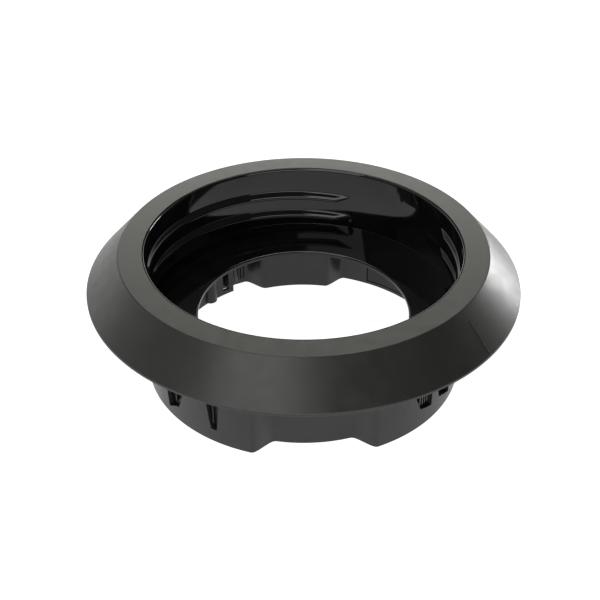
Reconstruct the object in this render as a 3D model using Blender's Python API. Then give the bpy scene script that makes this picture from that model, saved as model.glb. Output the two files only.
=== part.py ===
"""Mounting collar of a kitchen garbage disposal, modelled as an assembly of moulded pieces.

The frame's origin is the bottom centre, +Z is up, and the first recess of the hub faces -Y.
Angles are measured about +Z from -Y towards +X, in degrees, and lengths are in millimetres.
"""

import math

import bmesh
import bpy

MM = 0.001
CLEARANCE = 0.3              # gap between two pieces that touch on the real object
CLEARANCE_ANGLE = 0.3        # the same gap, as an angle at the hub wall
OVERCUT = 1.0                # how far a cutter runs past the face that it cuts

# Overall sizes
TOTAL_HEIGHT = 50.6
SKIRT_RADIUS = 80.0
FACE_RADIUS = 67.7           # outer edge of the flat top face
BORE_RADIUS = 58.0
HOLE_RADIUS = 40.0

# Trim ring
SKIRT_DROP = 13.6            # height of the cone, from the top face to the skirt's land
SKIRT_LAND = 1.0
SKIN = 2.4                   # wall of the cone, measured square to it
FACE_PLATE = 2.5
TRIM_BORE_RADIUS = 58.9
COLLAR_OUTER_RADIUS = 62.8
GUSSET_COUNT = 12
GUSSET_WIDTH = 1.6
GUSSET_FOOT = 34.0           # height of a gusset's foot on the inner collar
GUSSET_TIP_RISE = 1.6        # height of a gusset's tip above the skirt's foot
GUSSET_NOSE = 1.5            # blunt nose of a gusset, next to the cone

# Threaded sleeve
RIM_RADIUS = TRIM_BORE_RADIUS - CLEARANCE
RIM_CHAMFER = 0.4
RIM_CHAMFER_HEIGHT = 0.6
SLEEVE_OUTER_RADIUS = 60.3
SPIGOT_RADIUS = 59.0
SPIGOT_TOP = 30.9
SPIGOT_FOOT = 21.5
SPIGOT_INNER_RADIUS = 57.2
BORE_FOOT_RADIUS = 57.7
SEAT_OUTER_HEIGHT = 25.0     # the seat falls like a shallow funnel from here
SEAT_INNER_HEIGHT = 21.9
SEAT_THICKNESS = 1.7
SEAT_FILLET = 0.6            # bevel between the seat and the bore wall
LIP_BEVEL = 0.45             # bevel round the hole

# Thread: two ridges, one above the other, each in two arcs half a turn apart
THREAD_START = 161.0
THREAD_ARC = 133.0
THREAD_LEAD = 13.0
THREAD_RUN_OUT = 6.0         # angle over which a ridge rises from the wall
UPPER_RIDGE_HEIGHT = 35.9    # underside of the ridge at its start
RIDGE_SPACING = 8.6
RIDGE_DEPTH = 1.7
RIDGE_THICKNESS = 3.4
RIDGE_UNDERCUT = 0.6         # height of the flank below the crest
RIDGE_CREST = 0.8
STOP_RIB_WIDTH = 1.4
STOP_RIB_ANGLE = THREAD_START - 1.0
STOP_RIB_ROOT = 0.9          # how far the stop rib is let into the wall and the seat
STOP_RIB_RISE = 1.0          # how far it stands above the lower ridge's start

# Lobed hub
HUB_FOOT_RADIUS = 59.8
HUB_WAIST_RADIUS = 59.4      # just below the roof
HUB_TOP_RADIUS = 61.0
HUB_TOP = 30.6
HUB_INNER_RADIUS = 56.7
ROOF_TOP = 21.2
ROOF_FOOT = 19.6
ROOF_LEDGE = 0.2             # height of the shoulder where the lobes widen under the roof
HUB_DRAFT = 0.2              # how much the hub's inner wall and recesses lean over their height
RECESS_ANGLE = 3.95
RECESS_DEPTH = 8.0
RECESS_FLOOR_HALF_ANGLE = 14.9
RECESS_HALF_ANGLE = 21.35
RECESS_EASE = 1.25           # shape of the curve from a lobe down to a recess's floor
WINDOW_TOP = 19.2
POST_RADIUS = 1.75
POST_ANGLE = 31.0
POST_FOOT = 2.0
HUB_RIB_ANGLES = (26.3, 27.7, 29.1)
HUB_RIB_REACH = 0.8          # how far a rib stands proud of the inner wall, and is let into it

# Window outlines: left and right angle at the top, the same at the foot, left and right foot height
PLATE_WINDOW = (-57.1, -43.4, -54.7, -48.6, 2.8, 6.2)
SLOT_WINDOW = (-35.5, -29.2, -33.1, -30.8, 5.2, 5.3)
RIBBED_WINDOW = (39.9, 51.3, 44.4, 50.6, 7.7, 6.1)
DARK_WINDOW = (52.9, 65.2, 55.5, 63.7, 6.5, 3.1)

# Window plates, let into the hub wall from inside
PLATE_START = -60.0
PLATE_END = -28.8
PLATE_INNER_RADIUS = 56.8
PLATE_OUTER_RADIUS = 57.7
PLATE_FOOT = 1.6
PLATE_RIB_ANGLES = (-51.2, -32.7)
RIB_WIDTH = 0.55
RIB_ROOT = 0.5               # how far a rib or boss is let into its piece
RIB_RISE = 1.0               # height of a rib's foot above the foot of its window
RIB_SETBACK = 1.0            # how far a rib's tip lies inside the hub's outer face

# Catch blocks, behind the ribbed windows
BLOCK_START = 34.5
BLOCK_END = 67.0
BLOCK_INNER_RADIUS = 51.6
BLOCK_OUTER_RADIUS = 56.4
BLOCK_WALL = 1.2
BLOCK_FOOT = 1.0
BLOCK_TOP = 21.4
BLOCK_RIB_ANGLES = (44.8, 46.1, 47.4, 48.7, 50.0)
BOSS_ANGLE = 47.5
BOSS_RADIUS = 2.75
BLOCK_OPENING = (37.0, 40.2)
BLOCK_OPENING_MARGIN = 2.0   # wall left above and below the opening

HALF_TURN = 180.0
RING_STEPS = 96


def polar(radius, angle, height):
    """World position, in metres, of a point given in millimetres and degrees."""
    turn = math.radians(angle)
    return (radius * math.sin(turn) * MM, -radius * math.cos(turn) * MM, height * MM)


def mix(first, second, share):
    return first + (second - first) * share


def plastic(name, color, roughness):
    """A Principled material for moulded plastic."""
    material = bpy.data.materials.new(name)
    material.use_nodes = True
    shader = material.node_tree.nodes["Principled BSDF"]
    shader.inputs["Base Color"].default_value = (*color, 1.0)
    shader.inputs["Roughness"].default_value = roughness
    shader.inputs["Metallic"].default_value = 0.0
    return material


def add_object(name, verts, faces, material=None):
    """A mesh object with its faces pointing out, shaded smooth but for its sharp edges."""
    mesh = bpy.data.meshes.new(name)
    mesh.from_pydata(verts, [], faces)
    shape = bmesh.new()
    shape.from_mesh(mesh)
    bmesh.ops.recalc_face_normals(shape, faces=shape.faces)
    shape.to_mesh(mesh)
    shape.free()
    mesh.shade_smooth()
    mesh.set_sharp_from_angle(angle=math.radians(30))
    if material:
        mesh.materials.append(material)
    piece = bpy.data.objects.new(name, mesh)
    bpy.context.scene.collection.objects.link(piece)
    return piece


def add_ring(name, section, angles, material):
    """A closed ring through the sections (lists of radius and height) at the given angles."""
    verts = []
    for angle in angles:
        verts.extend(polar(radius, angle, height) for radius, height in section(angle))
    count = len(section(angles[0]))
    faces = []
    for step in range(len(angles)):
        here = step * count
        following = (step + 1) % len(angles) * count
        for point in range(count):
            after = (point + 1) % count
            faces.append((here + point, following + point, following + after, here + after))
    return add_object(name, verts, faces, material)


def add_arc(name, section, start, end, steps, material=None):
    """A closed piece of a ring, from one angle to another, with flat ends."""
    count = len(section)
    verts = []
    for step in range(steps + 1):
        angle = mix(start, end, step / steps)
        verts.extend(polar(radius, angle, height) for radius, height in section)
    faces = [tuple(range(count)), tuple(range(steps * count, (steps + 1) * count))]
    for step in range(steps):
        here = step * count
        for point in range(count):
            after = (point + 1) % count
            faces.append((here + point, here + count + point, here + count + after, here + after))
    return add_object(name, verts, faces, material)


def block_section(inner, outer, foot, top):
    return [(inner, foot), (outer, foot), (outer, top), (inner, top)]


def add_rib(name, angle, width, section):
    """A straight upright rib of even width, standing in the plane of the given angle."""
    turn = math.radians(angle)
    side = (math.cos(turn) * width / 2 * MM, math.sin(turn) * width / 2 * MM)
    verts = []
    for sign in (-1, 1):
        for radius, height in section:
            x, y, z = polar(radius, angle, height)
            verts.append((x + sign * side[0], y + sign * side[1], z))
    count = len(section)
    faces = [tuple(range(count)), tuple(range(count, 2 * count))]
    for point in range(count):
        after = (point + 1) % count
        faces.append((point, count + point, count + after, after))
    return add_object(name, verts, faces)


def add_post(name, centre_radius, angle, radius, foot, top, steps=16):
    """An upright round post."""
    centre = polar(centre_radius, angle, 0)
    verts = []
    for height in (foot, top):
        for step in range(steps):
            x, y, z = polar(radius, 360 * step / steps, height)
            verts.append((centre[0] + x, centre[1] + y, z))
    faces = [tuple(range(steps)), tuple(range(steps, 2 * steps))]
    for step in range(steps):
        after = (step + 1) % steps
        faces.append((step, after, steps + after, steps + step))
    return add_object(name, verts, faces)


def add_window_cutter(name, window, turned):
    """A tapered block that cuts one window through the hub wall."""
    top_left, top_right, foot_left, foot_right, left_height, right_height = window
    verts = []
    for radius in (BLOCK_INNER_RADIUS, SKIRT_RADIUS):
        verts.append(polar(radius, top_left + turned, WINDOW_TOP))
        verts.append(polar(radius, top_right + turned, WINDOW_TOP))
        verts.append(polar(radius, foot_right + turned, right_height))
        verts.append(polar(radius, foot_left + turned, left_height))
    faces = [(0, 1, 2, 3), (4, 5, 6, 7), (0, 1, 5, 4), (1, 2, 6, 5), (2, 3, 7, 6), (3, 0, 4, 7)]
    return add_object(name, verts, faces)


def combine(piece, other, operation):
    """Join a tool solid to a piece, or cut it away, with an exact Boolean."""
    other.hide_render = True
    other.hide_set(True)
    other.display_type = "WIRE"
    modifier = piece.modifiers.new(other.name, "BOOLEAN")
    modifier.operation = operation
    modifier.solver = "EXACT"
    modifier.object = other


def skirt_radius(height):
    """Radius of the cone's outside at a height."""
    return mix(FACE_RADIUS, SKIRT_RADIUS, (TOTAL_HEIGHT - height) / SKIRT_DROP)


def make_trim_ring(material):
    """Flat top face, conical skirt and the collar that holds the ring on the sleeve."""
    skirt_foot = TOTAL_HEIGHT - SKIRT_DROP - SKIRT_LAND
    plate_foot = TOTAL_HEIGHT - FACE_PLATE
    slant = math.hypot(SKIRT_DROP, SKIRT_RADIUS - FACE_RADIUS)
    skin_width = SKIN * slant / SKIRT_DROP
    collar_inner = SLEEVE_OUTER_RADIUS + CLEARANCE
    section = [
        (TRIM_BORE_RADIUS, TOTAL_HEIGHT),
        (FACE_RADIUS, TOTAL_HEIGHT),
        (SKIRT_RADIUS, skirt_foot + SKIRT_LAND),
        (SKIRT_RADIUS, skirt_foot),
        (skirt_radius(skirt_foot) - skin_width, skirt_foot),
        (skirt_radius(plate_foot) - skin_width, plate_foot),
        (COLLAR_OUTER_RADIUS, plate_foot),
        (COLLAR_OUTER_RADIUS, SPIGOT_TOP),
        (collar_inner, SPIGOT_TOP),
        (collar_inner, plate_foot),
        (TRIM_BORE_RADIUS, plate_foot),
    ]
    angles = [360 * step / RING_STEPS for step in range(RING_STEPS)]
    ring = add_ring("trim_ring", lambda angle: section, angles, material)

    mid_skin = skin_width / 2
    root_radius = (collar_inner + COLLAR_OUTER_RADIUS) / 2
    gusset_top = TOTAL_HEIGHT - FACE_PLATE / 2
    gusset_tip = skirt_foot + GUSSET_TIP_RISE
    gusset_section = [
        (root_radius, GUSSET_FOOT),
        (skirt_radius(gusset_tip) - skin_width - GUSSET_NOSE, gusset_tip - GUSSET_NOSE / 2),
        (skirt_radius(gusset_tip) - mid_skin, gusset_tip),
        (skirt_radius(gusset_top) - mid_skin, gusset_top),
        (root_radius, gusset_top),
    ]
    for number in range(GUSSET_COUNT):
        angle = 360 * (number + 0.5) / GUSSET_COUNT
        gusset = add_rib(f"tool_gusset_{number}", angle, GUSSET_WIDTH, gusset_section)
        combine(ring, gusset, "UNION")
    return ring


def thread_place(angle):
    """How far along its arc a point of the thread is, and how far the ridge stands out."""
    along = (angle - THREAD_START) % HALF_TURN
    if along > THREAD_ARC:
        return THREAD_ARC if along < (THREAD_ARC + HALF_TURN) / 2 else 0.0, 0.0
    rise = min(along, THREAD_ARC - along) / THREAD_RUN_OUT
    return along, min(rise, 1.0)


def ridge_points(angle, start_height, wall_radius):
    """The four corners of a thread ridge on the bore wall, from its foot up."""
    along, share = thread_place(angle)
    foot = start_height + THREAD_LEAD * along / 360
    crest_radius = wall_radius - RIDGE_DEPTH * share
    return [
        (wall_radius, foot),
        (crest_radius, foot + RIDGE_UNDERCUT),
        (crest_radius, foot + RIDGE_UNDERCUT + RIDGE_CREST),
        (wall_radius, foot + RIDGE_THICKNESS),
    ]


def make_threaded_sleeve(material):
    """Bore wall with its thread, the seat with the round hole, and the spigot for the hub."""
    def section(angle):
        wall = (BORE_RADIUS + BORE_FOOT_RADIUS) / 2
        lower_ridge = ridge_points(angle, UPPER_RIDGE_HEIGHT - RIDGE_SPACING, wall)
        upper_ridge = ridge_points(angle, UPPER_RIDGE_HEIGHT, wall)
        return [
            (BORE_FOOT_RADIUS, SEAT_OUTER_HEIGHT + SEAT_FILLET),
            *lower_ridge,
            *upper_ridge,
            (BORE_RADIUS, TOTAL_HEIGHT - RIM_CHAMFER_HEIGHT),
            (BORE_RADIUS + RIM_CHAMFER, TOTAL_HEIGHT),
            (RIM_RADIUS, TOTAL_HEIGHT),
            (RIM_RADIUS, TOTAL_HEIGHT - FACE_PLATE - CLEARANCE),
            (SLEEVE_OUTER_RADIUS, TOTAL_HEIGHT - FACE_PLATE - CLEARANCE),
            (SLEEVE_OUTER_RADIUS, SPIGOT_TOP),
            (SPIGOT_RADIUS, SPIGOT_TOP),
            (SPIGOT_RADIUS, SPIGOT_FOOT),
            (SPIGOT_INNER_RADIUS, SPIGOT_FOOT),
            (SPIGOT_INNER_RADIUS, SEAT_OUTER_HEIGHT - SEAT_THICKNESS),
            (HOLE_RADIUS, SEAT_INNER_HEIGHT - SEAT_THICKNESS),
            (HOLE_RADIUS, SEAT_INNER_HEIGHT - LIP_BEVEL),
            (HOLE_RADIUS + LIP_BEVEL, SEAT_INNER_HEIGHT),
            (BORE_FOOT_RADIUS - SEAT_FILLET, SEAT_OUTER_HEIGHT),
        ]

    angles = [360 * step / RING_STEPS for step in range(RING_STEPS)]
    sleeve = add_ring("threaded_sleeve", section, angles, material)
    stop_top = UPPER_RIDGE_HEIGHT - RIDGE_SPACING + STOP_RIB_RISE
    stop_section = block_section(BORE_RADIUS - RIDGE_DEPTH, BORE_RADIUS + STOP_RIB_ROOT,
                                 SEAT_OUTER_HEIGHT - STOP_RIB_ROOT, stop_top)
    for side in range(2):
        angle = STOP_RIB_ANGLE + HALF_TURN * side
        stop = add_rib(f"tool_stop_{side}", angle, STOP_RIB_WIDTH, stop_section)
        combine(sleeve, stop, "UNION")
    return sleeve


def recess_share(angle):
    """0 on a lobe of the hub and 1 on the floor of a recess."""
    away = abs((angle - RECESS_ANGLE + HALF_TURN / 2) % HALF_TURN - HALF_TURN / 2)
    along = (RECESS_HALF_ANGLE - away) / (RECESS_HALF_ANGLE - RECESS_FLOOR_HALF_ANGLE)
    along = min(max(along, 0.0), 1.0)
    return math.sin(math.pi / 2 * along ** RECESS_EASE)


def hub_section(angle):
    """Wall of the hub with the roof over its recesses and the rebate for the sleeve's spigot."""
    share = recess_share(angle)
    foot_radius = HUB_FOOT_RADIUS - RECESS_DEPTH * share
    roof_radius = mix(HUB_FOOT_RADIUS, HUB_TOP_RADIUS, ROOF_FOOT / HUB_TOP)
    under_roof = HUB_WAIST_RADIUS - (RECESS_DEPTH - HUB_DRAFT) * share
    inner_radius = HUB_INNER_RADIUS - RECESS_DEPTH * share
    rebate_radius = SPIGOT_RADIUS + CLEARANCE
    return [
        (foot_radius, 0.0),
        (under_roof, ROOF_FOOT - ROOF_LEDGE * (1 - share)),
        (roof_radius, ROOF_FOOT),
        (HUB_TOP_RADIUS, HUB_TOP),
        (rebate_radius, HUB_TOP),
        (rebate_radius, ROOF_TOP),
        (inner_radius - HUB_DRAFT, ROOF_TOP),
        (inner_radius, 0.0),
    ]


def hub_angles():
    """Even steps round the lobes, with finer ones where the wall turns into a recess."""
    coarse = 3.0
    fine = 0.8
    angles = []
    for side in (0.0, HALF_TURN):
        centre = RECESS_ANGLE + side
        floor_start = centre - RECESS_FLOOR_HALF_ANGLE
        steps_floor = math.ceil(2 * RECESS_FLOOR_HALF_ANGLE / coarse)
        for step in range(steps_floor):
            angles.append(mix(floor_start, centre + RECESS_FLOOR_HALF_ANGLE, step / steps_floor))
        ramp = RECESS_HALF_ANGLE - RECESS_FLOOR_HALF_ANGLE
        steps_ramp = math.ceil(ramp / fine)
        ramp_start = centre + RECESS_FLOOR_HALF_ANGLE
        for step in range(steps_ramp):
            angles.append(mix(ramp_start, ramp_start + ramp, step / steps_ramp))
        lobe_start = centre + RECESS_HALF_ANGLE
        lobe_end = centre + HALF_TURN - RECESS_HALF_ANGLE
        steps_lobe = math.ceil((lobe_end - lobe_start) / coarse)
        for step in range(steps_lobe):
            angles.append(mix(lobe_start, lobe_end, step / steps_lobe))
        for step in range(steps_ramp):
            angles.append(mix(lobe_end, lobe_end + ramp, step / steps_ramp))
    return angles


def make_lobed_hub(material):
    """Lower ring with two recesses, eight windows, posts, ribs and the plate rebates."""
    hub = add_ring("lobed_hub", hub_section, hub_angles(), material)
    windows = (PLATE_WINDOW, SLOT_WINDOW, RIBBED_WINDOW, DARK_WINDOW)
    rib_section = block_section(HUB_INNER_RADIUS - HUB_RIB_REACH, HUB_INNER_RADIUS + HUB_RIB_REACH,
                                POST_FOOT, ROOF_FOOT)
    rebate_section = block_section(HUB_INNER_RADIUS - OVERCUT, PLATE_OUTER_RADIUS + CLEARANCE,
                                   PLATE_FOOT - CLEARANCE, ROOF_TOP + OVERCUT)
    for side in range(2):
        turned = HALF_TURN * side
        post = add_post(f"tool_post_{side}", HUB_INNER_RADIUS, POST_ANGLE + turned, POST_RADIUS,
                        POST_FOOT, (ROOF_FOOT + ROOF_TOP) / 2)
        combine(hub, post, "UNION")
        for number, angle in enumerate(HUB_RIB_ANGLES):
            rib = add_rib(f"tool_hub_rib_{side}_{number}", angle + turned, RIB_WIDTH, rib_section)
            combine(hub, rib, "UNION")
        for number, window in enumerate(windows):
            cutter = add_window_cutter(f"cutter_window_{side}_{number}", window, turned)
            combine(hub, cutter, "DIFFERENCE")
        rebate = add_arc(f"cutter_rebate_{side}", rebate_section,
                         PLATE_START - CLEARANCE_ANGLE + turned,
                         PLATE_END + CLEARANCE_ANGLE + turned, 12)
        combine(hub, rebate, "DIFFERENCE")
    return hub


def make_window_plate(name, turned, material):
    """Curved plate that closes two windows from inside, keyed into them by upright ribs."""
    section = block_section(PLATE_INNER_RADIUS, PLATE_OUTER_RADIUS, PLATE_FOOT, ROOF_TOP)
    plate = add_arc(name, section, PLATE_START + turned, PLATE_END + turned, 12, material)
    rib_section = block_section(PLATE_OUTER_RADIUS - RIB_ROOT, HUB_FOOT_RADIUS - RIB_SETBACK,
                                PLATE_WINDOW[5] + RIB_RISE, WINDOW_TOP - CLEARANCE)
    for number, angle in enumerate(PLATE_RIB_ANGLES):
        rib = add_rib(f"tool_{name}_rib_{number}", angle + turned, RIB_WIDTH, rib_section)
        combine(plate, rib, "UNION")
    return plate


def make_catch_block(name, turned, material):
    """Hollow block behind two windows: a back wall, two ends, a top, ribs and a round boss."""
    solid = block_section(BLOCK_INNER_RADIUS, BLOCK_OUTER_RADIUS, BLOCK_FOOT, BLOCK_TOP)
    block = add_arc(name, solid, BLOCK_START + turned, BLOCK_END + turned, 14, material)

    boss = add_post(f"tool_{name}_boss", BLOCK_INNER_RADIUS + RIB_ROOT, BOSS_ANGLE + turned,
                    BOSS_RADIUS, BLOCK_FOOT + RIB_ROOT, BLOCK_TOP - RIB_ROOT)
    combine(block, boss, "UNION")

    wall_angle = math.degrees(BLOCK_WALL / BLOCK_OUTER_RADIUS)
    hollow_section = block_section(BLOCK_INNER_RADIUS + BLOCK_WALL, BLOCK_OUTER_RADIUS + OVERCUT,
                                   BLOCK_FOOT - OVERCUT, BLOCK_TOP - BLOCK_WALL)
    hollow = add_arc(f"cutter_{name}_hollow", hollow_section, BLOCK_START + wall_angle + turned,
                     BLOCK_END - wall_angle + turned, 14)
    combine(block, hollow, "DIFFERENCE")

    opening_section = block_section(BLOCK_INNER_RADIUS - OVERCUT,
                                    BLOCK_INNER_RADIUS + BLOCK_WALL + OVERCUT,
                                    BLOCK_FOOT + BLOCK_OPENING_MARGIN,
                                    BLOCK_TOP - BLOCK_OPENING_MARGIN)
    opening = add_arc(f"cutter_{name}_opening", opening_section, BLOCK_OPENING[0] + turned,
                      BLOCK_OPENING[1] + turned, 2)
    combine(block, opening, "DIFFERENCE")

    rib_section = block_section(BLOCK_INNER_RADIUS + RIB_ROOT, HUB_FOOT_RADIUS - RIB_SETBACK,
                                RIBBED_WINDOW[4] + RIB_RISE, WINDOW_TOP - CLEARANCE)
    for number, angle in enumerate(BLOCK_RIB_ANGLES):
        rib = add_rib(f"tool_{name}_rib_{number}", angle + turned, RIB_WIDTH, rib_section)
        combine(block, rib, "UNION")
    return block


def main():
    for item in list(bpy.data.objects):
        bpy.data.objects.remove(item, do_unlink=True)

    satin = plastic("trim_ring", (0.020, 0.020, 0.019), 0.42)
    gloss = plastic("threaded_sleeve", (0.006, 0.006, 0.007), 0.06)
    hub_satin = plastic("lobed_hub", (0.026, 0.026, 0.026), 0.36)
    dark = plastic("window_plate", (0.010, 0.010, 0.010), 0.30)
    ribbed = plastic("catch_block", (0.024, 0.024, 0.024), 0.34)

    make_trim_ring(satin)
    make_threaded_sleeve(gloss)
    make_lobed_hub(hub_satin)
    make_window_plate("window_plate_front", 0.0, dark)
    make_window_plate("window_plate_rear", HALF_TURN, dark)
    make_catch_block("catch_block_front", 0.0, ribbed)
    make_catch_block("catch_block_rear", HALF_TURN, ribbed)


main()
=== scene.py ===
"""Looks of the disposer's mounting collar: fine meshes, moulded plastic, soft studio light and a camera.

Angles are measured about +Z from -Y towards +X, in degrees, and lengths are in millimetres.
"""

import math

import bmesh
import bpy
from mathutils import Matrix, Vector


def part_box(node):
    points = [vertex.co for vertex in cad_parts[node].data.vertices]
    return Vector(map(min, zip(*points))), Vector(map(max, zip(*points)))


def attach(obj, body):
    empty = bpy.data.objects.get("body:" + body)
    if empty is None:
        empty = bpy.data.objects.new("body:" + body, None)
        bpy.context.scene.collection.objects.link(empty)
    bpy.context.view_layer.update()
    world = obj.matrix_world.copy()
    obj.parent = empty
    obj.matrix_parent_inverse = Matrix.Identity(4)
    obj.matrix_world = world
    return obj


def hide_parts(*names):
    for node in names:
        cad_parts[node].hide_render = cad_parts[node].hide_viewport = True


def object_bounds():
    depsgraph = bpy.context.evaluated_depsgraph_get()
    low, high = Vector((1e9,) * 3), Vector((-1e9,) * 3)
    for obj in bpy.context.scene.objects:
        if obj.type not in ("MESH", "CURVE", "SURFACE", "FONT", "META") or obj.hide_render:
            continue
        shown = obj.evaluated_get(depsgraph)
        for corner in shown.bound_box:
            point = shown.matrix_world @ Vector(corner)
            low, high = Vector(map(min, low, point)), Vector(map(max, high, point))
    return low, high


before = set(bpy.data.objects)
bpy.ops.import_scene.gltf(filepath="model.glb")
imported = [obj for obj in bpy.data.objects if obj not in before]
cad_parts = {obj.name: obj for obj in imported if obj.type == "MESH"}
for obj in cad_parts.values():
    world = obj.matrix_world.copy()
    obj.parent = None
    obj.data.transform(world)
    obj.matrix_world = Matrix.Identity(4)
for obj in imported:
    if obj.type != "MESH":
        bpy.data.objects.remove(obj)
cad_low, cad_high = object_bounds()

MM = 0.001
HALF_TURN = 180.0

# Sizes read from the frame
TOTAL_HEIGHT = (cad_high.z - cad_low.z) / MM
SKIRT_RADIUS = cad_high.x / MM
SKIRT_DROP = 13.6
HUB_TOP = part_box("lobed_hub")[1].z / MM
HUB_TOP_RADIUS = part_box("lobed_hub")[1].x / MM

COLLAR_OUTER_RADIUS = 62.8
COLLAR_INNER_RADIUS = 60.6
COLLAR_FOOT = 30.9
SLEEVE_OUTER_RADIUS = 60.3
FACE_RADIUS = 67.7
FACE_PLATE = 2.5
SKIRT_LAND = 1.0
SKIRT_FOOT = TOTAL_HEIGHT - SKIRT_DROP - SKIRT_LAND
SKIN = 2.4
SKIN_WIDTH = SKIN * math.hypot(SKIRT_DROP, SKIRT_RADIUS - FACE_RADIUS) / SKIRT_DROP
GUSSET_COUNT = 12
GUSSET_WIDTH = 1.6
GUSSET_FOOT = 34.0
GUSSET_TIP_RISE = 1.6
GUSSET_NOSE = 1.5
INDEX_LINE_ANGLE = 52.0
INDEX_LINE_WIDTH = 0.4
INDEX_LINE_DROP = 3.2         # from the top face to the line's upper end
INDEX_LINE_PROUD = 0.16
TRIM_BORE_RADIUS = 58.9
RIM_RADIUS = 58.6
BORE_RADIUS = 58.0
BORE_FOOT_RADIUS = 57.7
BORE_WALL_RADIUS = (BORE_RADIUS + BORE_FOOT_RADIUS) / 2
RIM_DROP = 0.1                # the sleeve's rim lies this far below the top face
SHOULDER_GAP = 0.3
HOLE_RADIUS = 40.0
SEAT_OUTER_HEIGHT = 25.0
SEAT_INNER_HEIGHT = 21.9
SEAT_THICKNESS = 1.7
SPIGOT_RADIUS = 59.0
SPIGOT_INNER_RADIUS = 57.2
SPIGOT_FOOT = 21.5

THREAD_START = 161.0
THREAD_ARC = 133.0
THREAD_LEAD = 13.0
THREAD_RUN_OUT = 6.0
UPPER_RIDGE_HEIGHT = 35.9
RIDGE_SPACING = 8.6
RIDGE_DEPTH = 1.7
RIDGE_THICKNESS = 3.4
STOP_WIDTH = 1.4
STOP_ROOT = 0.8
STOP_RISE = 1.6

HUB_FOOT_RADIUS = 59.8
HUB_WAIST_RADIUS = 59.4
HUB_INNER_RADIUS = 56.7
ROOF_FOOT = 19.6
ROOF_TOP = 21.2
REBATE_RADIUS = 59.3
ROOF_LEDGE = 0.2
HUB_DRAFT = 0.2
RECESS_ANGLE = 3.95
RECESS_DEPTH = 8.0
RECESS_FLOOR_HALF_ANGLE = 14.9
RECESS_HALF_ANGLE = 21.35
WINDOW_TOP = 19.2
# Left and right angle at the top, the same at the foot, left and right foot height
WINDOWS = (
    (-57.1, -43.4, -54.7, -48.6, 2.8, 6.2),
    (-35.5, -29.2, -33.1, -30.8, 5.2, 5.3),
    (39.9, 51.3, 44.4, 50.6, 7.7, 6.1),
    (52.9, 65.2, 55.5, 63.7, 6.5, 3.1),
)
PLATE_EDGES = (-60.3, -28.5)
PLATE_REBATE_RADIUS = 58.0
PLATE_REBATE_FOOT = 1.3
POST_ANGLE = 31.0
POST_RADIUS = 1.75
POST_FOOT = 2.0
POST_TOP = 20.6
HUB_RIB_ANGLES = (26.3, 27.7, 29.1)
RIB_WIDTH = 0.55
RIB_INNER_RADIUS = 55.9
RIB_OUTER_RADIUS = 57.4


# ---------------------------------------------------------------- shapes


def polar(radius, angle, height):
    turn = math.radians(angle)
    return (radius * math.sin(turn) * MM, -radius * math.cos(turn) * MM, height * MM)


def mix(first, second, share):
    return first + (second - first) * share


def add_solid(name, verts, faces):
    """A mesh object with its faces pointing out."""
    mesh = bpy.data.meshes.new(name)
    mesh.from_pydata(verts, [], faces)
    shape = bmesh.new()
    shape.from_mesh(mesh)
    bmesh.ops.recalc_face_normals(shape, faces=shape.faces)
    shape.to_mesh(mesh)
    shape.free()
    solid = bpy.data.objects.new(name, mesh)
    bpy.context.scene.collection.objects.link(solid)
    return solid


def add_piece(name, verts, faces, slot, bevel=0.0, stands_for=()):
    """A mesh piece that rides on the part's only body and takes a slot's finish."""
    return finish_piece(add_solid(name, verts, faces), slot, bevel, stands_for)


def finish_piece(piece, slot, bevel=0.0, stands_for=()):
    mesh = piece.data
    mesh.shade_smooth()
    mesh.set_sharp_from_angle(angle=math.radians(35))
    if bevel:
        modifier = piece.modifiers.new("edges", "BEVEL")
        modifier.width = bevel * MM
        modifier.segments = 2
        modifier.limit_method = "ANGLE"
        modifier.angle_limit = math.radians(40)
        modifier.harden_normals = True
    mesh.materials.clear()
    mesh.materials.append(materials[slot])
    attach(piece, "root")
    if stands_for:
        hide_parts(*stands_for)
    return piece


def rounded(points, radii, steps=4):
    """The closed outline with each corner replaced by a small curve of that size."""
    outline = []
    for number, corner in enumerate(points):
        size = radii[number]
        if not size:
            outline.append(corner)
            continue
        here = Vector(corner)
        ends = []
        for other in (points[number - 1], points[(number + 1) % len(points)]):
            edge = Vector(other) - here
            ends.append(here + edge * min(size / max(edge.length, 1e-6), 0.45))
        for step in range(steps + 1):
            share = step / steps
            first = ends[0].lerp(here, share)
            second = here.lerp(ends[1], share)
            outline.append(tuple(first.lerp(second, share)))
    return outline


def ring_faces(columns, count):
    faces = []
    for step in range(columns):
        here = step * count
        following = (step + 1) % columns * count
        for point in range(count):
            after = (point + 1) % count
            faces.append((here + point, following + point, following + after, here + after))
    return faces


def keep_flats_flat(piece):
    """Shading normals that follow the large faces, so only the small rounded edges shade as curves."""
    modifier = piece.modifiers.new("flats", "WEIGHTED_NORMAL")
    modifier.keep_sharp = True
    modifier.weight = 100


def add_ring(name, section, steps, slot, stands_for=()):
    """A closed ring through the sections at even steps of angle."""
    verts = []
    for step in range(steps):
        angle = 360 * step / steps
        verts.extend(polar(radius, angle, height) for radius, height in section(angle))
    faces = ring_faces(steps, len(verts) // steps)
    piece = add_piece(name, verts, faces, slot, stands_for=stands_for)
    keep_flats_flat(piece)
    return piece


def add_prism(name, angle, width, outline, slot, bevel):
    """An upright rib of even width in the plane of an angle, from its outline of (radius, height)."""
    turn = math.radians(angle)
    side = Vector((math.cos(turn), math.sin(turn), 0)) * (width / 2 * MM)
    verts = [Vector(polar(radius, angle, height)) + side * sign
             for sign in (-1, 1) for radius, height in outline]
    count = len(outline)
    faces = [tuple(range(count)), tuple(range(count, 2 * count))]
    for point in range(count):
        after = (point + 1) % count
        faces.append((point, count + point, count + after, after))
    return add_piece(name, verts, faces, slot, bevel)


def skirt_radius(height):
    """Radius of the cone's outside at a height."""
    return mix(FACE_RADIUS, SKIRT_RADIUS, (TOTAL_HEIGHT - height) / SKIRT_DROP)


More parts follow.
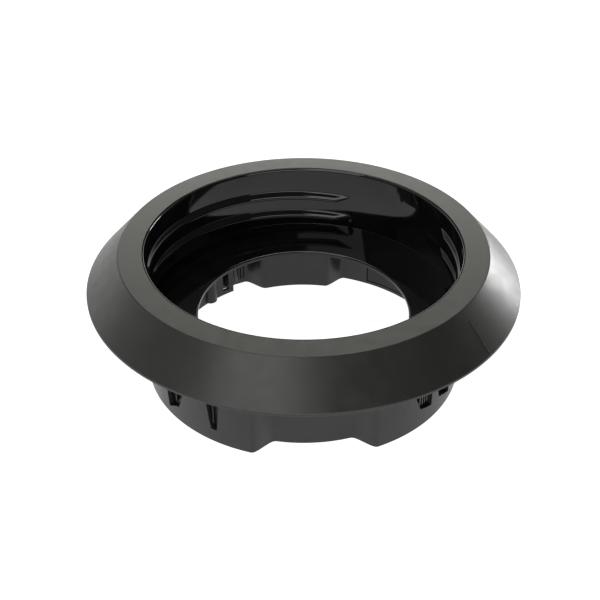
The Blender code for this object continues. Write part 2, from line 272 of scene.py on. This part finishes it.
def make_trim_ring():
    """Flat top face, conical skirt, the collar under it and its gussets."""
    plate_foot = TOTAL_HEIGHT - FACE_PLATE
    points = [
        (TRIM_BORE_RADIUS, TOTAL_HEIGHT),
        (FACE_RADIUS, TOTAL_HEIGHT),
        (SKIRT_RADIUS, SKIRT_FOOT + SKIRT_LAND),
        (SKIRT_RADIUS, SKIRT_FOOT),
        (skirt_radius(SKIRT_FOOT) - SKIN_WIDTH, SKIRT_FOOT),
        (skirt_radius(plate_foot) - SKIN_WIDTH, plate_foot),
        (COLLAR_OUTER_RADIUS, plate_foot),
        (COLLAR_OUTER_RADIUS, COLLAR_FOOT),
        (COLLAR_INNER_RADIUS, COLLAR_FOOT),
        (COLLAR_INNER_RADIUS, plate_foot),
        (TRIM_BORE_RADIUS, plate_foot),
    ]
    outline = rounded(points, (0.12, 0.3, 0.25, 0.25, 0.2, 1.0, 0.8, 0.2, 0.2, 0, 0))
    add_ring("trim_ring_shell", lambda angle: outline, 288, "trim_satin", ("trim_ring",))

    gusset_top = plate_foot + 1.0
    gusset_tip = SKIRT_FOOT + GUSSET_TIP_RISE
    root_radius = COLLAR_OUTER_RADIUS - 0.5
    gusset = [
        (root_radius, GUSSET_FOOT),
        (skirt_radius(gusset_tip) - SKIN_WIDTH - GUSSET_NOSE, gusset_tip - 0.8),
        (skirt_radius(gusset_tip) - SKIN_WIDTH / 2, gusset_tip),
        (skirt_radius(gusset_top) - SKIN_WIDTH / 2, gusset_top),
        (root_radius, gusset_top),
    ]
    for number in range(GUSSET_COUNT):
        angle = 360 * (number + 0.5) / GUSSET_COUNT
        add_prism(f"skirt_gusset_{number}", angle, GUSSET_WIDTH, gusset, "trim_satin", 0.15)
    add_index_line()


def add_index_line():
    """A fine raised line down the skirt, from just below the face to the land."""
    start_height = TOTAL_HEIGHT - INDEX_LINE_DROP
    end_height = SKIRT_FOOT + SKIRT_LAND + 0.25
    slant = math.hypot(SKIRT_DROP, SKIRT_RADIUS - FACE_RADIUS)
    outward = INDEX_LINE_PROUD * SKIRT_DROP / slant
    upward = INDEX_LINE_PROUD * (SKIRT_RADIUS - FACE_RADIUS) / slant
    outline = []
    for height in (start_height, end_height):
        outline.append((skirt_radius(height) - 0.3, height - 0.3))
    for height in (end_height, start_height):
        outline.append((skirt_radius(height) + outward, height + upward))
    add_prism("skirt_index_line", INDEX_LINE_ANGLE, INDEX_LINE_WIDTH, outline, "trim_satin", 0.06)


def ridge_outline(angle, start_height, wall):
    """Points of one thread ridge from its foot up. Its underside climbs to its top where it runs out."""
    along = (angle - THREAD_START) % HALF_TURN
    if along > THREAD_ARC:
        share = 0.0
        along = THREAD_ARC if along < (THREAD_ARC + HALF_TURN) / 2 else 0.0
    else:
        share = min(min(along, THREAD_ARC - along) / THREAD_RUN_OUT, 1.0)
    foot = start_height + THREAD_LEAD * along / 360
    top = foot + RIDGE_THICKNESS
    start = mix(top - 0.6, foot, share)
    crest = wall - RIDGE_DEPTH * share
    return [
        (wall, start),
        (crest, mix(start, top, 0.18)),
        (crest, mix(start, top, 0.60)),
        (wall, top),
    ]


def sleeve_section(angle):
    shoulder = TOTAL_HEIGHT - FACE_PLATE - SHOULDER_GAP
    points = [
        (BORE_FOOT_RADIUS, SEAT_OUTER_HEIGHT),
        *ridge_outline(angle, UPPER_RIDGE_HEIGHT - RIDGE_SPACING, BORE_WALL_RADIUS),
        *ridge_outline(angle, UPPER_RIDGE_HEIGHT, BORE_WALL_RADIUS),
        (BORE_RADIUS, TOTAL_HEIGHT - 0.7),
        (BORE_RADIUS + 0.35, TOTAL_HEIGHT - RIM_DROP),
        (RIM_RADIUS, TOTAL_HEIGHT - RIM_DROP),
        (RIM_RADIUS, shoulder),
        (SLEEVE_OUTER_RADIUS, shoulder),
        (SLEEVE_OUTER_RADIUS, COLLAR_FOOT),
        (SPIGOT_RADIUS, COLLAR_FOOT),
        (SPIGOT_RADIUS, SPIGOT_FOOT),
        (SPIGOT_INNER_RADIUS, SPIGOT_FOOT),
        (SPIGOT_INNER_RADIUS, SEAT_OUTER_HEIGHT - SEAT_THICKNESS),
        (HOLE_RADIUS, SEAT_INNER_HEIGHT - SEAT_THICKNESS),
        (HOLE_RADIUS, SEAT_INNER_HEIGHT),
    ]
    radii = (0.12, *(0.4, 0.3, 0.9, 0.5) * 2, 0.3, 0.3, 0, 0, 0.2, 0.2, 0, 0.2, 0.2, 0.4, 0.35, 0.5)
    return rounded(points, radii, 3)


def make_threaded_sleeve():
    """Gloss bore with its thread, the funnel seat and the stop ribs."""
    add_ring("sleeve_bore", sleeve_section, 480, "bore_gloss", ("threaded_sleeve",))
    for side in range(2):
        stop_foot = SEAT_OUTER_HEIGHT - STOP_ROOT
        stop_top = UPPER_RIDGE_HEIGHT - RIDGE_SPACING + STOP_RISE
        outline = [
            (BORE_RADIUS - RIDGE_DEPTH, stop_foot),
            (BORE_RADIUS + STOP_ROOT, stop_foot),
            (BORE_RADIUS + STOP_ROOT, stop_top),
            (BORE_RADIUS - RIDGE_DEPTH + 0.4, stop_top),
        ]
        angle = THREAD_START - 1.0 + HALF_TURN * side
        add_prism(f"thread_stop_{side}", angle, STOP_WIDTH, outline, "bore_gloss", 0.25)


def recess_share(angle):
    """0 on a lobe and 1 on the floor of a recess, with the corners softened."""
    total = 0.0
    for shift, weight in ((-0.7, 1), (0.0, 2), (0.7, 1)):
        away = abs((angle + shift - RECESS_ANGLE + 90) % HALF_TURN - 90)
        along = (RECESS_HALF_ANGLE - away) / (RECESS_HALF_ANGLE - RECESS_FLOOR_HALF_ANGLE)
        total += weight * math.sin(math.pi / 2 * min(max(along, 0.0), 1.0) ** 1.25)
    return total / 4


def hub_section(angle):
    """Wall of the hub with the roof over its recesses and the rebate for the sleeve's spigot."""
    share = recess_share(angle)
    inner_radius = HUB_INNER_RADIUS - RECESS_DEPTH * share
    return [
        (HUB_FOOT_RADIUS - RECESS_DEPTH * share, 0.0),
        (HUB_WAIST_RADIUS - (RECESS_DEPTH - HUB_DRAFT) * share, ROOF_FOOT - ROOF_LEDGE * (1 - share)),
        (mix(HUB_FOOT_RADIUS, HUB_TOP_RADIUS, ROOF_FOOT / HUB_TOP), ROOF_FOOT),
        (HUB_TOP_RADIUS, HUB_TOP),
        (REBATE_RADIUS, HUB_TOP),
        (REBATE_RADIUS, ROOF_TOP),
        (inner_radius - HUB_DRAFT, ROOF_TOP),
        (inner_radius, 0.0),
    ]


def add_cutter(outlines):
    """A solid through a list of outlines of polar points, one after another."""
    count = len(outlines[0])
    verts = [polar(*point) for outline in outlines for point in outline]
    faces = [tuple(range(count)), tuple(range(len(verts) - count, len(verts)))]
    for here in range(0, len(verts) - count, count):
        for point in range(count):
            after = (point + 1) % count
            faces.append((here + point, here + count + point, here + count + after, here + after))
    return add_solid("cutter", verts, faces)


def window_cutter(window, turned):
    top_left, top_right, foot_left, foot_right, left_height, right_height = window
    corners = ((top_left, WINDOW_TOP), (top_right, WINDOW_TOP),
               (foot_right, right_height), (foot_left, left_height))
    return add_cutter([[(radius, angle + turned, height) for angle, height in corners]
                       for radius in (HUB_INNER_RADIUS - 5, SKIRT_RADIUS)])


def rebate_cutter(turned):
    """Room for a window plate in the hub's inner wall."""
    corners = ((HUB_INNER_RADIUS - 1, PLATE_REBATE_FOOT), (PLATE_REBATE_RADIUS, PLATE_REBATE_FOOT),
               (PLATE_REBATE_RADIUS, ROOF_TOP + 1), (HUB_INNER_RADIUS - 1, ROOF_TOP + 1))
    steps = 24
    return add_cutter([[(radius, mix(*PLATE_EDGES, step / steps) + turned, height)
                        for radius, height in corners] for step in range(steps + 1)])


def cut_away(piece, cutters):
    """Cuts solids out of a piece for good, and tidies the slivers that the cuts leave."""
    for cutter in cutters:
        modifier = piece.modifiers.new("cut", "BOOLEAN")
        modifier.operation = "DIFFERENCE"
        modifier.solver = "EXACT"
        modifier.object = cutter
    evaluated = piece.evaluated_get(bpy.context.evaluated_depsgraph_get())
    mesh = bpy.data.meshes.new_from_object(evaluated)
    piece.modifiers.clear()
    piece.data = mesh
    for cutter in cutters:
        bpy.data.objects.remove(cutter, do_unlink=True)
    shape = bmesh.new()
    shape.from_mesh(mesh)
    bmesh.ops.remove_doubles(shape, verts=shape.verts, dist=0.05 * MM)
    shape.to_mesh(mesh)
    shape.free()


def make_lobed_hub():
    """Lower ring with two recesses, eight windows, and the posts and ribs on its inner wall."""
    steps = 720
    verts = []
    for step in range(steps):
        angle = 360 * step / steps
        verts.extend(polar(radius, angle, height) for radius, height in hub_section(angle))
    hub = add_solid("hub_shell", verts, ring_faces(steps, len(verts) // steps))
    cutters = []
    for turned in (0.0, HALF_TURN):
        cutters.append(rebate_cutter(turned))
        cutters.extend(window_cutter(window, turned) for window in WINDOWS)
    cut_away(hub, cutters)
    finish_piece(hub, "hub_satin", 0.18, ("lobed_hub",))

    for side in range(2):
        turned = HALF_TURN * side
        add_post(f"hub_post_{side}", HUB_INNER_RADIUS + 0.1, POST_ANGLE + turned, POST_RADIUS,
                 POST_FOOT, POST_TOP)
        for number, angle in enumerate(HUB_RIB_ANGLES):
            outline = [(RIB_INNER_RADIUS, POST_FOOT), (RIB_OUTER_RADIUS, POST_FOOT),
                       (RIB_OUTER_RADIUS, POST_TOP), (RIB_INNER_RADIUS, POST_TOP)]
            add_prism(f"hub_rib_{side}_{number}", angle + turned, RIB_WIDTH, outline, "hub_satin", 0.12)


def add_post(name, centre_radius, angle, radius, foot, top):
    """An upright round post with softened ends."""
    centre = Vector(polar(centre_radius, angle, 0))
    outline = [(radius - 0.5, foot), (radius - 0.15, foot + 0.15), (radius, foot + 0.5), (radius, top)]
    steps = 24
    verts = []
    for reach, height in outline:
        for step in range(steps):
            verts.append(centre + Vector(polar(reach, 360 * step / steps, height)))
    faces = [tuple(range(steps)), tuple(range(len(verts) - steps, len(verts)))]
    for level in range(len(outline) - 1):
        for step in range(steps):
            after = (step + 1) % steps
            low, high = level * steps, (level + 1) * steps
            faces.append((low + step, low + after, high + after, high + step))
    return add_piece(name, verts, faces, "hub_satin")


def make_inserts():
    """The catch blocks and window plates: the frame's own shapes with softened edges."""
    for node, slot, bevel in (("catch_block_front", "block_satin", 0.18),
                              ("catch_block_rear", "block_satin", 0.18),
                              ("window_plate_front", "plate_dark", 0.1),
                              ("window_plate_rear", "plate_dark", 0.1)):
        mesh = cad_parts[node].data.copy()
        shape = bmesh.new()
        shape.from_mesh(mesh)
        bmesh.ops.remove_doubles(shape, verts=shape.verts, dist=0.00001)
        bmesh.ops.dissolve_limit(shape, angle_limit=math.radians(0.5), verts=shape.verts, edges=shape.edges)
        shape.to_mesh(mesh)
        shape.free()
        piece = bpy.data.objects.new(node + "_fine", mesh)
        bpy.context.scene.collection.objects.link(piece)
        finish_piece(piece, slot, bevel, (node,))


# ---------------------------------------------------------------- materials


def node_material(name):
    material = bpy.data.materials.new(name)
    material.use_nodes = True
    tree = material.node_tree
    return material, tree, tree.nodes["Principled BSDF"]


def add_noise(tree, scale, detail=2.0):
    noise = tree.nodes.new("ShaderNodeTexNoise")
    noise.inputs["Scale"].default_value = scale
    noise.inputs["Detail"].default_value = detail
    coordinates = tree.nodes.new("ShaderNodeTexCoord")
    tree.links.new(coordinates.outputs["Object"], noise.inputs["Vector"])
    return noise.outputs["Fac"]


def add_range(tree, value, low, high, start=0.3, end=0.7):
    """Maps a noise value on to a range."""
    spread = tree.nodes.new("ShaderNodeMapRange")
    spread.inputs["From Min"].default_value = start
    spread.inputs["From Max"].default_value = end
    spread.inputs["To Min"].default_value = low
    spread.inputs["To Max"].default_value = high
    tree.links.new(value, spread.inputs["Value"])
    return spread.outputs["Result"]


def add_colors(tree, value, first, second, start=0.35, end=0.65):
    ramp = tree.nodes.new("ShaderNodeValToRGB")
    ramp.color_ramp.elements[0].position = start
    ramp.color_ramp.elements[0].color = (*first, 1)
    ramp.color_ramp.elements[1].position = end
    ramp.color_ramp.elements[1].color = (*second, 1)
    tree.links.new(value, ramp.inputs["Fac"])
    return ramp.outputs["Color"]


def add_bump(tree, height, distance, strength, below=None):
    bump = tree.nodes.new("ShaderNodeBump")
    bump.inputs["Strength"].default_value = strength
    bump.inputs["Distance"].default_value = distance
    tree.links.new(height, bump.inputs["Height"])
    if below:
        tree.links.new(below, bump.inputs["Normal"])
    return bump.outputs["Normal"]


def satin_plastic(name, dark, light, roughness, grain):
    """Spark-eroded satin plastic: a fine even grain, faint smudges and slow changes of tone."""
    material, tree, shader = node_material(name)
    tone = add_colors(tree, add_noise(tree, 70.0, 3.0), dark, light)
    tree.links.new(tone, shader.inputs["Base Color"])
    smudges = add_range(tree, add_noise(tree, 220.0, 4.0), roughness - 0.035, roughness + 0.035)
    tree.links.new(smudges, shader.inputs["Roughness"])
    fine = add_bump(tree, add_noise(tree, 4200.0, 2.0), 0.00003, grain)
    soft = add_bump(tree, add_noise(tree, 260.0, 2.0), 0.00004, 0.2, fine)
    tree.links.new(soft, shader.inputs["Normal"])
    return material


def gloss_plastic(name):
    """Mirror-gloss plastic with a little unevenness of tone, haze and surface."""
    material, tree, shader = node_material(name)
    tone = add_colors(tree, add_noise(tree, 60.0, 2.0), (0.0025, 0.0025, 0.003), (0.0045, 0.0045, 0.005))
    tree.links.new(tone, shader.inputs["Base Color"])
    haze = add_range(tree, add_noise(tree, 160.0, 5.0), 0.03, 0.075)
    tree.links.new(haze, shader.inputs["Roughness"])
    wave = add_bump(tree, add_noise(tree, 90.0, 1.0), 0.00006, 0.25)
    tree.links.new(wave, shader.inputs["Normal"])
    return material


materials = {
    "trim_satin": satin_plastic("trim_satin", (0.013, 0.013, 0.0117), (0.017, 0.017, 0.0152), 0.36, 0.35),
    "bore_gloss": gloss_plastic("bore_gloss"),
    "hub_satin": satin_plastic("hub_satin", (0.016, 0.016, 0.016), (0.020, 0.020, 0.020), 0.27, 0.1),
    "plate_dark": satin_plastic("plate_dark", (0.004, 0.004, 0.004), (0.006, 0.006, 0.006), 0.35, 0.2),
    "block_satin": satin_plastic("block_satin", (0.012, 0.012, 0.012), (0.016, 0.016, 0.016), 0.32, 0.25),
}


# ---------------------------------------------------------------- studio

FLOOR_HALF_SIZE = 6.0         # metres
FLOOR_DROP = 0.0004           # metres below the hub's foot, so that the two don't touch
FLOOR_GLOW = 0.7              # how brightly the floor lights the object and shows in its gloss


def mix_for_camera(tree, unseen, seen):
    """A strength for light that bounces off the stage, and another for the stage as the camera sees it."""
    path = tree.nodes.new("ShaderNodeLightPath")
    blend = tree.nodes.new("ShaderNodeMix")
    tree.links.new(path.outputs["Is Camera Ray"], blend.inputs["Factor"])
    if isinstance(unseen, float):
        blend.inputs["A"].default_value = unseen
    else:
        tree.links.new(unseen, blend.inputs["A"])
    blend.inputs["B"].default_value = seen
    return blend.outputs["Result"]


def add_math(tree, operation, first, second):
    """A Math node on two sockets."""
    node = tree.nodes.new("ShaderNodeMath")
    node.operation = operation
    tree.links.new(first, node.inputs[0])
    tree.links.new(second, node.inputs[1])
    return node.outputs["Value"]


def make_floor():
    """A plain white floor with one even glow."""
    size = FLOOR_HALF_SIZE
    mesh = bpy.data.meshes.new("floor")
    mesh.from_pydata([(-size, -size, 0), (size, -size, 0), (size, size, 0), (-size, size, 0)], [],
                     [(0, 1, 2, 3)])
    floor = bpy.data.objects.new("floor", mesh)
    floor.location.z = -FLOOR_DROP
    bpy.context.scene.collection.objects.link(floor)
    material, tree, shader = node_material("floor_white")
    shader.inputs["Base Color"].default_value = (0.3, 0.3, 0.3, 1)
    shader.inputs["Roughness"].default_value = 0.9
    shader.inputs["Emission Color"].default_value = (1, 1, 1, 1)
    tree.links.new(mix_for_camera(tree, FLOOR_GLOW, 1.0), shader.inputs["Emission Strength"])
    mesh.materials.append(material)


def make_world():
    """A studio room: white behind the object, dim in front of it and dark on its right."""
    world = bpy.data.worlds.new("studio")
    bpy.context.scene.world = world
    world.use_nodes = True
    tree = world.node_tree
    background = tree.nodes["Background"]
    background.inputs["Color"].default_value = (1, 1, 1, 1)
    coordinates = tree.nodes.new("ShaderNodeTexCoord")
    split = tree.nodes.new("ShaderNodeSeparateXYZ")
    tree.links.new(coordinates.outputs["Generated"], split.inputs["Vector"])
    horizon = add_range(tree, split.outputs["Z"], 1.0, 0.0, 0.14, 0.34)
    behind = add_range(tree, split.outputs["Y"], 0.0, 1.1, 0.0, 0.6)
    leftward = add_range(tree, split.outputs["X"], 0.45, 0.08, -0.95, -0.2)
    glow = add_math(tree, "ADD", add_math(tree, "MULTIPLY", horizon, behind), leftward)
    tree.links.new(mix_for_camera(tree, glow, 1.0), background.inputs["Strength"])


def add_softbox(name, place, aim, width, height, brightness, color=(1, 1, 1)):
    """An area light whose face has the given radiance."""
    light = bpy.data.lights.new(name, "AREA")
    light.shape = "RECTANGLE"
    light.size = width
    light.size_y = height
    light.energy = brightness * math.pi * width * height
    light.color = color
    lamp = bpy.data.objects.new(name, light)
    lamp.location = place
    lamp.rotation_euler = (Vector(aim) - Vector(place)).to_track_quat("-Z", "Y").to_euler()
    lamp.visible_camera = False
    bpy.context.scene.collection.objects.link(lamp)


def make_lights():
    middle = (0, 0, 0.04)
    add_softbox("back_softbox", (0.0, 0.95, 0.33), middle, 0.85, 0.50, 2.6, (1.0, 1.0, 0.93))
    add_softbox("top_softbox", (0.0, 0.36, 0.85), middle, 0.5, 0.4, 4.6, (1.0, 1.0, 0.93))
    add_softbox("right_softbox", (0.43, 0.37, 0.062), middle, 0.16, 0.09, 20.0)
    add_softbox("front_softbox", (-0.28, -0.56, 0.70), middle, 0.6, 0.42, 2.7)
    add_softbox("low_front_strip", (0.0, -0.90, 0.27), middle, 1.6, 0.30, 3.5)


def make_camera():
    camera = bpy.data.cameras.new("camera")
    camera.sensor_width = 36.0
    camera.lens = 69.2
    eye = bpy.data.objects.new("camera", camera)
    eye.location = (-0.0013, -0.3589, 0.2229 + TOTAL_HEIGHT * MM)
    eye.rotation_euler = (math.radians(90 - 34.62), 0, 0)
    bpy.context.scene.collection.objects.link(eye)
    bpy.context.scene.camera = eye


make_trim_ring()
make_threaded_sleeve()
make_lobed_hub()
make_inserts()
make_floor()
make_world()
make_lights()
make_camera()
bpy.context.scene.view_settings.view_transform = "Standard"
